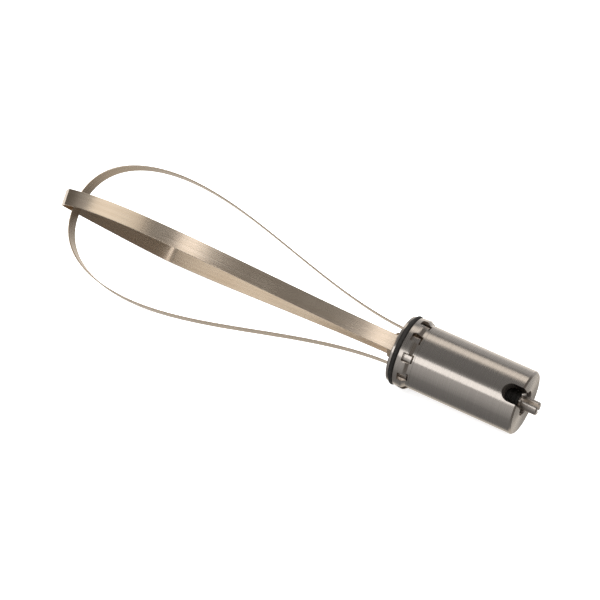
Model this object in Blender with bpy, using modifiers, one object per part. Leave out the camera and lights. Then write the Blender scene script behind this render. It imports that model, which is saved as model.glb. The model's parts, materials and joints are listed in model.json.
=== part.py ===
"""Two-loop paint whisk on a bearing barrel, lying at rest on its bands and the barrel's rim.

Every sub-part is modelled in the tool's own frame, in millimetres until it becomes a mesh:
x runs along the shaft from the barrel's drive-end face towards the whisk's tip, y points
through the U-notch (the plane of the outer loop), and z is the plane of the inner loop.
One empty, tool_axis, then lays the whole tool down: the loops stand at 45 degrees, the tip
points to -X and the drive end to +X, and the origin is under the middle of the tool.
"""

from math import asin, atan2, cos, degrees, pi, radians, sin, sqrt, tan

import bmesh
import bpy
from mathutils import Matrix, Vector

MM = 0.001

# Barrel and its mouth
BARREL_R = 19.0
BARREL_CHAMFER = 1.0
SPIGOT_R = 18.2
SPIGOT_START = 63.4
MOUTH_END = 78.3
MOUTH_R = 16.2
MOUTH_FLOOR = 64.0
BEARING_BORE_R = 13.0
BORE_START = 15.0
SHAFT_BORE_R = 7.4
RING_GROOVE = (61.4, 62.8)
RING_GROOVE_R = 13.9
NOTCH_WIDTH = 10.6
NOTCH_LENGTH = 11.2

# Collar, O-ring and lip ring on the spigot
COLLAR_GAP = 0.15
COLLAR_R = 18.35
COLLAR_END = 73.25
COLLAR_END_R = 20.35
RIDGE = (65.6, 67.4, 68.5, 69.6)  # foot, shoulder, crest and far shoulder
RIDGE_R = 20.8
RIDGE_SHOULDER_R = 20.65
WINDOWS = 10
WINDOW_START = 64.4
WINDOW_END = 70.5
WINDOW_WIDTH = 5.2
O_RING_X = 74.7
O_RING_R = 19.6
O_RING_SECTION_R = 1.25
LIP_RING = (76.15, 77.9)
LIP_RING_R = 19.6
LIP_RING_CHAMFER = 0.7

# Ball bearings, 10 x 26 x 8
BEARING_WIDTH = 8.0
BEARING_STARTS = {"rear": 15.3, "front": 45.9}
BALLS = 7
BALL_R = 2.25
PITCH_R = 9.0
GROOVE_R = 2.45
INNER_RACE_R = (5.1, 7.5)
OUTER_RACE_R = (10.5, 12.85)
CAGE_R = (8.2, 9.8)
CAGE_WIDTH = 6.0
SPACER = (23.6, 45.6)
OUTER_SPACER_R = (11.3, 12.85)
INNER_SPACER_R = (5.1, 6.6)

# Wave spring, shaft seal and retaining ring in front of the bearings
WAVE_WASHER_X = 54.6
WAVE_WASHER_R = (10.9, 12.6)
WAVES = 3
WAVE_LIFT = 0.28
WAVE_THICKNESS = 0.25
SEAL_CASE = (55.3, 61.1)
SEAL_CASE_R = (8.6, 12.85)
SEAL_WALL = 0.7
SEAL_BODY = (55.5, 60.3)
SEAL_LIP_R = 6.75
GARTER_X = 56.8
GARTER_R = 8.85
GARTER_SECTION_R = 0.5
SEAL_SLEEVE = (54.2, 64.2)
SEAL_SLEEVE_R = (5.1, 6.5)
RETAINING_RING = (61.55, 62.65)
RETAINING_RING_R = (11.4, 13.7)

# Shaft and what is on it
SHAFT_R = 4.0
SHAFT_BODY_R = 4.95
SHAFT_TIP = -8.0
SHAFT_NOSE = 84.5
SHOULDER = (13.5, 15.1)
SHOULDER_R = 6.2
CLIP_GROOVE = (1.4, 3.0)
CLIP_GROOVE_R = 3.6
DRIVE_SLOT_WIDTH = 1.8
DRIVE_SLOT_LENGTH = 8.6
DRIVE_SLOT_TURN = radians(13.5)
BOOT = (3.4, 13.2)
BOOT_R = 5.5
CLIP_THICKNESS = 1.0
CLIP_R = (3.75, 5.4)
LUG_R = 1.1
LUG_HOLE_R = 0.45

# Hub that carries the four legs
HUB = (64.4, 76.0)
HUB_FLAT = 10.0
HUB_CORNER = 2.5
HUB_BORE_R = 5.1
LOCK_WASHER = (76.3, 77.5)
LOCK_WASHER_R = (4.15, 7.4)
NUT = (77.8, 83.8)
NUT_FLATS = 13.0
THREAD_R = 3.95
CROSS_PIN_X = 67.0
CROSS_PIN_R = 1.5
LEG_SCREW_X = 70.4
LEG_SCREW_R = 1.7
LEG_SCREW_HEAD_R = 3.6
LEG_SCREW_REACH = 5.2
LEG_SCREW_HEAD_HEIGHT = 2.2
LEG_SOCKET_R = 1.4
LEG_SOCKET_DEPTH = 1.3

# Spring-steel bands: each half is a straight leg and two curves
BAND_WIDTH = 9.5
BAND_THICKNESS = 0.75
LEG_START = 64.8
LEG_R = 10.5
LEG_END = 75.0
LEG_PULL = 54.7
LOBE_X = 233.7
LOBE_R = 38.7
LOBE_PULL_BACK = 48.5
LOBE_PULL_ON = 14.1
NOSE_X = 287.6
NOSE_PULL = 36.0
NOSE_YAW = 0.14
TIP_CORNERS = ((291.6, 12.0), (297.27, 0.5))
TIP_BEND_R = 2.0
TIP_PULL_ON = (21.3, 14.1)
TIP_PULL_IN = ((274.5, 29.5), (273.7, -18.0))
TIP_YAW_START = 276.0
TIP_YAW = 0.15

LOOP_ROLL = radians(45)
FINE, MEDIUM, COARSE = 48, 24, 16


def clear_scene():
    for obj in list(bpy.data.objects):
        bpy.data.objects.remove(obj, do_unlink=True)


def new_collection(name):
    collection = bpy.data.collections.new(name)
    bpy.context.scene.collection.children.link(collection)
    return collection


def material(name, colour, roughness, metallic):
    made = bpy.data.materials.new(name)
    made.use_nodes = True
    shader = made.node_tree.nodes["Principled BSDF"]
    shader.inputs["Base Color"].default_value = (*colour, 1)
    shader.inputs["Roughness"].default_value = roughness
    shader.inputs["Metallic"].default_value = metallic
    return made


def new_empty(name, parent=None, x=0.0):
    empty = bpy.data.objects.new(name, None)
    empty.empty_display_size = 0.02
    empty.location = (x * MM, 0, 0)
    empty.parent = parent
    PARTS.objects.link(empty)
    return empty


def place(obj, parent, x=0.0):
    """Parents obj, whose mesh is in the tool's frame, to a body's empty that sits at x."""
    obj.parent = parent
    obj.location = obj.location + Vector((x * MM, 0, 0)) - parent.location
    return obj


def add_mesh(name, bm, finish=None):
    """Makes bm an object: a part if it has a finish, otherwise a cutter."""
    bmesh.ops.recalc_face_normals(bm, faces=bm.faces)
    if bm.calc_volume(signed=True) < 0:
        bmesh.ops.reverse_faces(bm, faces=bm.faces)
    mesh = bpy.data.meshes.new(name)
    bm.to_mesh(mesh)
    bm.free()
    obj = bpy.data.objects.new(name, mesh)
    if finish:
        mesh.materials.append(finish)
        mesh.shade_smooth()
        mesh.set_sharp_from_angle(angle=radians(32))
        PARTS.objects.link(obj)
    else:
        obj.hide_render = True
        obj.display_type = "WIRE"
        CUTTERS.objects.link(obj)
    return obj


def baked(obj):
    """The mesh that obj's curve or modifiers make, as a bmesh, with obj removed."""
    bpy.context.view_layer.update()
    graph = bpy.context.evaluated_depsgraph_get()
    mesh = bpy.data.meshes.new_from_object(obj.evaluated_get(graph))
    bm = bmesh.new()
    bm.from_mesh(mesh)
    bmesh.ops.remove_doubles(bm, verts=bm.verts, dist=0.002 * MM)
    bm.transform(obj.matrix_world)
    bpy.data.meshes.remove(mesh)
    bpy.data.objects.remove(obj, do_unlink=True)
    return bm


def arc(centre, radius, start, end, steps):
    """Points (x, r) on an arc, angles in degrees."""
    angles = [radians(start + (end - start) * i / steps) for i in range(steps + 1)]
    return [(centre[0] + radius * cos(a), centre[1] + radius * sin(a)) for a in angles]


def turned(name, profile, steps, finish=None):
    """Turns a profile of (x, r) points about the x axis; a profile off the axis closes on itself."""
    mesh = bpy.data.meshes.new(name + "_profile")
    closed = profile[0][1] > 0
    edges = [(i, i + 1) for i in range(len(profile) - 1)]
    if closed:
        edges.append((len(profile) - 1, 0))
    mesh.from_pydata([(x * MM, r * MM, 0) for x, r in profile], edges, [])
    obj = bpy.data.objects.new(name + "_profile", mesh)
    CUTTERS.objects.link(obj)
    screw = obj.modifiers.new("turn", "SCREW")
    screw.axis = "X"
    screw.steps = screw.render_steps = steps
    screw.use_merge_vertices = True
    screw.merge_threshold = 1e-6
    return add_mesh(name, baked(obj), finish)


def ring(name, inner, outer, start, end, steps, finish=None):
    profile = [(start, inner), (start, outer), (end, outer), (end, inner)]
    return turned(name, profile, steps, finish)


def box(name, low, high, finish=None):
    bm = bmesh.new()
    bmesh.ops.create_cube(bm, size=1)
    size = [(b - a) * MM for a, b in zip(low, high)]
    middle = [(b + a) / 2 * MM for a, b in zip(low, high)]
    bm.transform(Matrix.Translation(middle) @ Matrix.Diagonal((*size, 1)))
    return add_mesh(name, bm, finish)


def rod(name, radius, start, end, steps, finish=None):
    """A straight cylinder between two points, used for pins and for drilled holes."""
    start, end = Vector(start), Vector(end)
    along = end - start
    bm = bmesh.new()
    size = {"radius1": radius * MM, "radius2": radius * MM, "depth": along.length * MM}
    bmesh.ops.create_cone(bm, cap_ends=True, segments=steps, **size)
    turn = Vector((0, 0, 1)).rotation_difference(along).to_matrix().to_4x4()
    bm.transform(Matrix.Translation((start + end) / 2 * MM) @ turn)
    return add_mesh(name, bm, finish)


def extruded(name, outline, half, turn, finish=None):
    """A flat outline of (u, v) points made a plate, then turned into place."""
    curve = bpy.data.curves.new(name, "CURVE")
    curve.dimensions = "2D"
    curve.fill_mode = "BOTH"
    curve.extrude = half * MM
    spline = curve.splines.new("POLY")
    spline.points.add(len(outline) - 1)
    for point, (u, v) in zip(spline.points, outline):
        point.co = (u * MM, v * MM, 0, 1)
    spline.use_cyclic_u = True
    obj = bpy.data.objects.new(name, curve)
    obj.matrix_world = turn
    CUTTERS.objects.link(obj)
    return add_mesh(name, baked(obj), finish)


def boolean(obj, other, operation="DIFFERENCE"):
    modifier = obj.modifiers.new(other.name, "BOOLEAN")
    modifier.operation = operation
    modifier.solver = "EXACT"
    modifier.object = other
    other.parent = obj.parent
    other.location = obj.location
    return obj


def turned_about_x(obj, angle):
    obj.data.transform(Matrix.Rotation(angle, 4, "X"))
    return obj


# ---------------------------------------------------------------- stationary housing


def make_barrel():
    profile = [
        (0, SHAFT_BORE_R),
        (0, BARREL_R - BARREL_CHAMFER),
        (BARREL_CHAMFER, BARREL_R),
        (SPIGOT_START, BARREL_R),
        (SPIGOT_START, SPIGOT_R),
        (MOUTH_END, SPIGOT_R),
        (MOUTH_END, MOUTH_R),
        (MOUTH_FLOOR, MOUTH_R),
        (MOUTH_FLOOR, BEARING_BORE_R),
        (RING_GROOVE[1], BEARING_BORE_R),
        (RING_GROOVE[1], RING_GROOVE_R),
        (RING_GROOVE[0], RING_GROOVE_R),
        (RING_GROOVE[0], BEARING_BORE_R),
        (BORE_START, BEARING_BORE_R),
        (BORE_START, SHAFT_BORE_R),
    ]
    barrel = place(turned("barrel", profile, FINE, STAINLESS), TOOL)
    half = NOTCH_WIDTH / 2
    bend = NOTCH_LENGTH - half
    outline = [(-2, -half)] + arc((bend, 0), half, -90, 90, 16) + [(-2, half)]
    # The outline lies in the x-z plane and is pushed out along y, from the bore through the wall.
    turn = Matrix.Translation((0, 15 * MM, 0)) @ Matrix.Rotation(radians(90), 4, "X")
    return boolean(barrel, extruded("notch_cutter", outline, 13, turn))


def make_collar():
    start = SPIGOT_START + COLLAR_GAP
    profile = [
        (start, COLLAR_R),
        (start, BARREL_R),
        (RIDGE[0], BARREL_R),
        (RIDGE[1], RIDGE_SHOULDER_R),
        (RIDGE[2], RIDGE_R),
        (RIDGE[3], RIDGE_SHOULDER_R),
        (COLLAR_END, COLLAR_END_R),
        (COLLAR_END, COLLAR_R),
    ]
    collar = place(turned("front_collar", profile, FINE, STAINLESS), TOOL)
    half = WINDOW_WIDTH / 2
    for i in range(WINDOWS):
        cutter = box(f"window_cutter_{i + 1}", (WINDOW_START, 15, -half), (WINDOW_END, 25, half))
        turned_about_x(cutter, 2 * pi * (i + 0.5) / WINDOWS)
        boolean(collar, cutter)
    return collar


def make_front_rings():
    section = arc((O_RING_X, O_RING_R), O_RING_SECTION_R, 0, 315, 7)
    place(turned("o_ring", section, FINE, RUBBER), TOOL)
    start, end = LIP_RING
    profile = [
        (start, COLLAR_R),
        (start, LIP_RING_R),
        (end - LIP_RING_CHAMFER, LIP_RING_R),
        (end, LIP_RING_R - LIP_RING_CHAMFER),
        (end, COLLAR_R),
    ]
    place(turned("lip_ring", profile, FINE, STAINLESS), TOOL)


def race_groove(middle, radius, side):
    """The ball groove's arc where it meets a race of this radius; side is -1 for the inner race."""
    reach = degrees(asin(abs(PITCH_R - radius) / GROOVE_R))
    return arc((middle, PITCH_R), GROOVE_R, side * reach, side * (180 - reach), 4)


def make_bearing(end):
    start = BEARING_STARTS[end]
    stop = start + BEARING_WIDTH
    middle = (start + stop) / 2
    low, high = OUTER_RACE_R
    profile = [(start, low), (start, high), (stop, high), (stop, low)] + race_groove(middle, low, 1)
    place(turned(f"{end}_outer_race", profile, MEDIUM, BEARING_STEEL), TOOL)
    low, high = INNER_RACE_R
    profile = [(start, high), (start, low), (stop, low), (stop, high)] + race_groove(middle, high, -1)
    place(turned(f"{end}_inner_race", profile, MEDIUM, BEARING_STEEL), SPINDLE)
    make_ball_set(end, middle)


def make_ball_set(end, middle):
    axis = new_empty(f"{end}_cage_axis", TOOL, middle)
    half = CAGE_WIDTH / 2
    cage = ring(f"{end}_ball_cage", *CAGE_R, middle - half, middle + half, MEDIUM, CAGE_BRASS)
    place(cage, axis)
    ball_mesh = None
    for i in range(BALLS):
        angle = 2 * pi * i / BALLS
        out = Vector((0, cos(angle), sin(angle)))
        centre = Vector((middle, 0, 0))
        pocket = rod(f"{end}_pocket_{i + 1}", GROOVE_R, centre + 6 * out, centre + 12 * out, 10)
        boolean(cage, pocket)
        if not ball_mesh:
            bm = bmesh.new()
            bmesh.ops.create_uvsphere(bm, u_segments=10, v_segments=7, radius=BALL_R * MM)
            ball = add_mesh(f"{end}_ball_1", bm, BEARING_STEEL)
            ball_mesh = ball.data
        else:
            ball = bpy.data.objects.new(f"{end}_ball_{i + 1}", ball_mesh)
            PARTS.objects.link(ball)
        ball.location = PITCH_R * MM * out
        place(ball, axis, middle)


def make_wave_washer():
    inner, outer = WAVE_WASHER_R
    bm = bmesh.new()
    bmesh.ops.create_circle(bm, segments=36, radius=outer * MM)
    edges = bmesh.ops.extrude_edge_only(bm, edges=bm.edges[:])["geom"]
    for vert in [item for item in edges if isinstance(item, bmesh.types.BMVert)]:
        vert.co *= inner / outer
    for vert in bm.verts:
        vert.co.z = WAVE_LIFT * MM * cos(WAVES * atan2(vert.co.y, vert.co.x))
    bm.transform(Matrix.Rotation(radians(90), 4, "Y"))
    washer = place(add_mesh("wave_washer", bm, BEARING_STEEL), TOOL, WAVE_WASHER_X)
    solid = washer.modifiers.new("thickness", "SOLIDIFY")
    solid.thickness = WAVE_THICKNESS * MM
    solid.offset = 0


def make_shaft_seal():
    """A pressed case, a moulded lip that points to the paint side, and the garter spring on the lip."""
    start, end = SEAL_CASE
    inner, outer = SEAL_CASE_R
    floor = end - SEAL_WALL + 0.1
    profile = [
        (start, outer),
        (end, outer),
        (end, inner),
        (floor, inner),
        (floor, outer - SEAL_WALL),
        (start, outer - SEAL_WALL),
    ]
    place(turned("seal_case", profile, MEDIUM, BEARING_STEEL), TOOL)
    start, end = SEAL_BODY
    body = outer - SEAL_WALL - 0.15
    skirt = 1.1
    profile = [
        (start, body),
        (end, body),
        (end, SEAL_LIP_R + 1.25),
        (end - 0.9, SEAL_LIP_R + 0.65),
        (start + 1.5, SEAL_LIP_R),
        (start + 0.5, SEAL_LIP_R + 0.55),
        (start + 0.5, SEAL_LIP_R + 1.45),
        (start + 2.1, SEAL_LIP_R + 1.45),
        (start + 3.3, SEAL_LIP_R + 2.85),
        (start + 3.3, body - skirt),
        (start, body - skirt),
    ]
    place(turned("seal_lip", profile, MEDIUM, RUBBER), TOOL)
    section = arc((GARTER_X, GARTER_R), GARTER_SECTION_R, 0, 300, 5)
    place(turned("garter_spring", section, MEDIUM, BEARING_STEEL), TOOL)


def snap_ring(name, radii, start, end, gap, lug_r, lug_angle, facing, body):
    """A circlip: an open ring with two drilled lugs either side of its gap, which faces one angle."""
    inner, outer = radii
    clip = place(ring(name, inner, outer, start, end, MEDIUM, BEARING_STEEL), body)
    cuts = [box(name + "_gap", (start - 1, 0, -gap / 2), (end + 1, 2 * outer, gap / 2))]
    for side in (-1, 1):
        turn = side * lug_angle
        at = (lug_r * cos(turn), lug_r * sin(turn))
        label = f"{name}_lug_{'a' if side < 0 else 'b'}"
        lug = rod(label, LUG_R, (start, *at), (end, *at), 12)
        boolean(clip, turned_about_x(lug, facing), "UNION")
        cuts.append(rod(label + "_hole", LUG_HOLE_R, (start - 1, *at), (end + 1, *at), 8))
    for cutter in cuts:
        boolean(clip, turned_about_x(cutter, facing))


# ---------------------------------------------------------------- rotor


def make_drive_shaft():
    profile = [
        (SHAFT_TIP, 0),
        (SHAFT_TIP, SHAFT_R - 0.5),
        (SHAFT_TIP + 0.5, SHAFT_R),
        (CLIP_GROOVE[0], SHAFT_R),
        (CLIP_GROOVE[0], CLIP_GROOVE_R),
        (CLIP_GROOVE[1], CLIP_GROOVE_R),
        (CLIP_GROOVE[1], SHAFT_R),
        (SHOULDER[0], SHAFT_R),
        (SHOULDER[0], SHOULDER_R),
        (SHOULDER[1], SHOULDER_R),
        (SHOULDER[1], SHAFT_BODY_R),
        (HUB[1] + 0.1, SHAFT_BODY_R),
        (HUB[1] + 0.1, THREAD_R),
        (SHAFT_NOSE - 0.6, THREAD_R),
        (SHAFT_NOSE, THREAD_R - 0.6),
        (SHAFT_NOSE, 0),
    ]
    shaft = place(turned("drive_shaft", profile, MEDIUM, STAINLESS), SPINDLE)
    half = DRIVE_SLOT_WIDTH / 2
    slot = box("drive_slot_cutter", (SHAFT_TIP - 2, -8, -half), (SHAFT_TIP + DRIVE_SLOT_LENGTH, 8, half))
    boolean(shaft, turned_about_x(slot, DRIVE_SLOT_TURN))
    boolean(shaft, cross_hole("shaft_cross_hole"))


def across(name, radius, reach, finish=None):
    """A cylinder through the shaft's axis, from one corner of the hub to the opposite one."""
    return rod(name, radius, (CROSS_PIN_X, -reach, -reach), (CROSS_PIN_X, reach, reach), 12, finish)


def cross_hole(name):
    return across(name, CROSS_PIN_R + 0.2, HUB_FLAT + 4)


def make_shaft_sleeves():
    start, end = BOOT
    profile = [
        (start, SHAFT_R + 0.15),
        (start, BOOT_R - 0.4),
        (start + 0.4, BOOT_R),
        (end, BOOT_R),
        (end, SHAFT_R + 0.15),
    ]
    place(turned("shaft_boot", profile, MEDIUM, RUBBER), SPINDLE)
    place(ring("inner_spacer_sleeve", *INNER_SPACER_R, *SPACER, MEDIUM, STAINLESS), SPINDLE)
    place(ring("seal_sleeve", *SEAL_SLEEVE_R, *SEAL_SLEEVE, MEDIUM, STAINLESS), SPINDLE)


def make_hub():
    flat = HUB_FLAT
    corner = flat - HUB_CORNER
    outline = [(flat, -corner), (flat, corner), (corner, flat), (-corner, flat)]
    outline += [(-u, -v) for u, v in outline]
    half = (HUB[1] - HUB[0]) / 2
    turn = Matrix.Translation(((HUB[0] + half) * MM, 0, 0)) @ Matrix.Rotation(radians(90), 4, "Y")
    hub = place(extruded("whisk_hub", outline, half, turn, STAINLESS), SPINDLE)
    boolean(hub, rod("hub_bore", HUB_BORE_R, (HUB[0] - 1, 0, 0), (HUB[1] + 1, 0, 0), MEDIUM))
    boolean(hub, cross_hole("hub_cross_hole"))
    for i in range(4):
        inside, outside = (LEG_SCREW_X, 3, 0), (LEG_SCREW_X, 12, 0)
        hole = rod(f"hub_thread_{i + 1}", LEG_SCREW_R + 0.2, inside, outside, 12)
        boolean(hub, turned_about_x(hole, i * pi / 2))


def make_hub_fasteners():
    inset = 0.2
    place(across("hub_cross_pin", CROSS_PIN_R, HUB_FLAT - HUB_CORNER / 2 - inset, STAINLESS), SPINDLE)
    start, end = LOCK_WASHER
    washer = place(ring("hub_lock_washer", *LOCK_WASHER_R, start, end, MEDIUM, BEARING_STEEL), SPINDLE)
    boolean(washer, box("lock_washer_split", (start - 1, 2, -0.6), (end + 1, 10, 0.6)))
    start, end = NUT
    nut = rod("hub_nut", NUT_FLATS / sqrt(3), (start, 0, 0), (end, 0, 0), 6, BEARING_STEEL)
    place(nut, SPINDLE)
    boolean(nut, rod("nut_thread", THREAD_R + 0.2, (start - 1, 0, 0), (end + 1, 0, 0), COARSE))
    for i in range(4):
        make_leg_screw(i)


def make_leg_screw(i):
    """A pan-head screw along y, turned to its leg, with a hexagon socket."""
    seat = LEG_R + BAND_THICKNESS / 2 + 0.15
    foot, crown = seat - LEG_SCREW_REACH, seat + LEG_SCREW_HEAD_HEIGHT
    head = LEG_SCREW_HEAD_R
    profile = [
        (foot, 0),
        (foot, LEG_SCREW_R - 0.3),
        (foot + 0.3, LEG_SCREW_R),
        (seat, LEG_SCREW_R),
        (seat, head),
        (seat + 0.9, head),
        (crown - 0.3, head - 0.6),
        (crown, head - 1.3),
        (crown, 0),
    ]
    screw = turned(f"leg_screw_{i + 1}", profile, COARSE, BEARING_STEEL)
    stand = Matrix.Translation((LEG_SCREW_X * MM, 0, 0)) @ Matrix.Rotation(radians(90), 4, "Z")
    screw.data.transform(Matrix.Rotation(i * pi / 2, 4, "X") @ stand)
    place(screw, SPINDLE)
    bottom, above = (LEG_SCREW_X, crown - LEG_SOCKET_DEPTH, 0), (LEG_SCREW_X, crown + 1, 0)
    socket = rod(f"leg_screw_socket_{i + 1}", LEG_SOCKET_R, bottom, above, 6)
    boolean(screw, turned_about_x(socket, i * pi / 2))


def bezier(start, pull_out, pull_in, end, steps):
    """Points of a cubic curve after its start, as (x, r)."""
    points = []
    for i in range(1, steps + 1):
        t = i / steps
        weights = ((1 - t) ** 3, 3 * t * (1 - t) ** 2, 3 * t * t * (1 - t), t**3)
        corners = (start, pull_out, pull_in, end)
        points.append(tuple(sum(w * c[k] for w, c in zip(weights, corners)) for k in (0, 1)))
    return points


def leg_and_lobe():
    """The half path both bands share: straight leg in the mouth, then out to the lobe's widest point."""
    leg_end = (LEG_END, LEG_R)
    widest = (LOBE_X, LOBE_R)
    pull_out, pull_in = (LEG_END + LEG_PULL, LEG_R), (LOBE_X - LOBE_PULL_BACK, LOBE_R)
    return [(LEG_START, LEG_R), leg_end] + bezier(leg_end, pull_out, pull_in, widest, 20)


def inner_path():
    """The inner band's whole path, with a plain rounded nose."""
    widest, nose = (LOBE_X, LOBE_R), (NOSE_X, 0)
    pull_out = (LOBE_X + LOBE_PULL_ON, LOBE_R)
    half = leg_and_lobe() + bezier(widest, pull_out, (NOSE_X, NOSE_PULL), nose, 18)
    return half + mirrored(half[:-1])


def mirrored(points):
    return [(x, -r) for x, r in reversed(points)]


def bend(before, corner, after, steps):
    """Points of the rounded corner between two straight runs, as (x, r)."""
    corner = Vector(corner)
    back, on = (Vector(before) - corner).normalized(), (Vector(after) - corner).normalized()
    half = back.angle(on) / 2
    centre = corner + (back + on).normalized() * TIP_BEND_R / sin(half)
    spoke = corner + back * TIP_BEND_R / tan(half) - centre
    turn = 2 * half - pi
    return [tuple(centre + Matrix.Rotation(turn * i / steps, 2) @ spoke) for i in range(steps + 1)]


def outer_path():
    """The outer band's whole path. Its tip is pushed to one side and ends in a short, slanting flat."""
    (near, far), (near_pull, far_pull) = TIP_CORNERS, TIP_PULL_IN
    first, last = bend(near_pull, near, far, 4), bend(near, far, far_pull, 4)
    near_lobe, far_lobe = (LOBE_X, LOBE_R), (LOBE_X, -LOBE_R)
    near_out, far_out = (LOBE_X + TIP_PULL_ON[0], LOBE_R), (LOBE_X + TIP_PULL_ON[1], -LOBE_R)
    near_side = leg_and_lobe() + bezier(near_lobe, near_out, near_pull, first[0], 16)
    far_side = bezier(far_lobe, far_out, far_pull, last[-1], 16)
    return near_side + first[1:] + last + far_side[-2::-1] + mirrored(leg_and_lobe())


def yawed(start, full, slope):
    """A shape that turns the end of a band out of square, more and more from x = start to x = full."""

    def shape(vert):
        t = min(1, max(0, (vert.co.x / MM - start) / (full - start)))
        vert.co.x += slope * vert.co.z * t * t * (3 - 2 * t)

    return shape


def make_band(name, path, turn, first_leg, shape):
    """A flat strip bent along a path of (x, r), with a hole in each leg for its screw."""
    curve = bpy.data.curves.new(name, "CURVE")
    curve.dimensions = "2D"
    curve.fill_mode = "NONE"
    curve.extrude = BAND_WIDTH / 2 * MM
    spline = curve.splines.new("POLY")
    spline.points.add(len(path) - 1)
    for point, (x, r) in zip(spline.points, path):
        point.co = (x * MM, r * MM, 0, 1)
    guide = bpy.data.objects.new(name + "_guide", curve)
    CUTTERS.objects.link(guide)
    strip = baked(guide)
    for vert in strip.verts:
        shape(vert)
    strip.transform(Matrix.Rotation(turn, 4, "X"))
    band = place(add_mesh(name, strip, SPRING_STEEL), SPINDLE)
    solid = band.modifiers.new("thickness", "SOLIDIFY")
    solid.thickness = BAND_THICKNESS * MM
    solid.offset = 0
    solid.use_even_offset = True
    for i in (first_leg, first_leg + 2):
        inside, outside = (LEG_SCREW_X, LEG_R - 1.5, 0), (LEG_SCREW_X, LEG_R + 1.5, 0)
        hole = rod(f"leg_hole_{i + 1}", LEG_SCREW_R + 0.4, inside, outside, 16)
        boolean(band, turned_about_x(hole, i * pi / 2))


# ---------------------------------------------------------------- laying it down


def resting_tilt():
    """How far the axis rises towards the tip, lying on the barrel's rim and the two lower lobes."""
    highest = 0.0
    for x, r in leg_and_lobe():
        drop = (r + BAND_THICKNESS / 2) * sin(LOOP_ROLL) + BAND_WIDTH / 2 * cos(LOOP_ROLL)
        rise = atan2(drop - BARREL_R, x - BARREL_CHAMFER)
        highest = max(highest, rise)
    return highest


def lay_down():
    """Rolls and tilts the tool, then puts the origin at the middle of its box, on the floor."""
    TOOL.rotation_euler = (LOOP_ROLL, -resting_tilt(), pi)
    bpy.context.view_layer.update()
    graph = bpy.context.evaluated_depsgraph_get()
    points = []
    for obj in PARTS.objects:
        if obj.type == "MESH":
            whole = obj.evaluated_get(graph)
            points += [whole.matrix_world @ vert.co for vert in whole.data.vertices]
    low = [min(p[k] for p in points) for k in range(3)]
    high = [max(p[k] for p in points) for k in range(3)]
    TOOL.location = (-(low[0] + high[0]) / 2, -(low[1] + high[1]) / 2, -low[2])


clear_scene()
PARTS = new_collection("paint_mixer")
CUTTERS = new_collection("cutters")

STAINLESS = material("brushed_stainless", (0.55, 0.51, 0.48), 0.32, 1.0)
SPRING_STEEL = material("spring_steel", (0.60, 0.54, 0.48), 0.28, 1.0)
BEARING_STEEL = material("bearing_steel", (0.62, 0.62, 0.64), 0.2, 1.0)
CAGE_BRASS = material("cage_brass", (0.70, 0.52, 0.25), 0.35, 1.0)
RUBBER = material("black_rubber", (0.02, 0.018, 0.017), 0.55, 0.0)

TOOL = new_empty("tool_axis")
SPINDLE = new_empty("spindle_axis", TOOL)

make_barrel()
make_collar()
make_front_rings()
for bearing_end in BEARING_STARTS:
    make_bearing(bearing_end)
place(ring("outer_spacer_tube", *OUTER_SPACER_R, *SPACER, MEDIUM, STAINLESS), TOOL)
make_wave_washer()
make_shaft_seal()
snap_ring("mouth_retaining_ring", RETAINING_RING_R, *RETAINING_RING, 3.4, 10.6, radians(17), pi, TOOL)

make_drive_shaft()
make_shaft_sleeves()
clip_start = (sum(CLIP_GROOVE) - CLIP_THICKNESS) / 2
clip_end = clip_start + CLIP_THICKNESS
snap_ring("shaft_circlip", CLIP_R, clip_start, clip_end, 2.0, 6.0, radians(20.5), DRIVE_SLOT_TURN, SPINDLE)
make_hub()
make_hub_fasteners()
make_band("outer_loop_band", outer_path(), 0, 0, yawed(TIP_YAW_START, TIP_CORNERS[0][0], TIP_YAW))
make_band("inner_loop_band", inner_path(), radians(90), 1, yawed(LOBE_X, NOSE_X, -NOSE_YAW))
lay_down()
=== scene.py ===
"""The looks of the two-loop paint whisk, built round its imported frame.

Each CAD node gets a finer piece of the same shape and place: turned parts with filleted edges,
cut windows and slots with broken edges, a rolled thread, and strips with rolled edges. Every
piece is shaped in the tool's own frame, in millimetres: x runs along the shaft from the
drive-end face towards the tip, y points through the U-notch, and z completes the frame. The
matrix TOOL, read from the record's mount and spin joint, then lays the piece where the CAD is.
"""

import json
from math import asin, ceil, cos, degrees, hypot, pi, radians, sin, sqrt, tan

import bmesh
import bpy
from mathutils import Matrix, Vector


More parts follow.
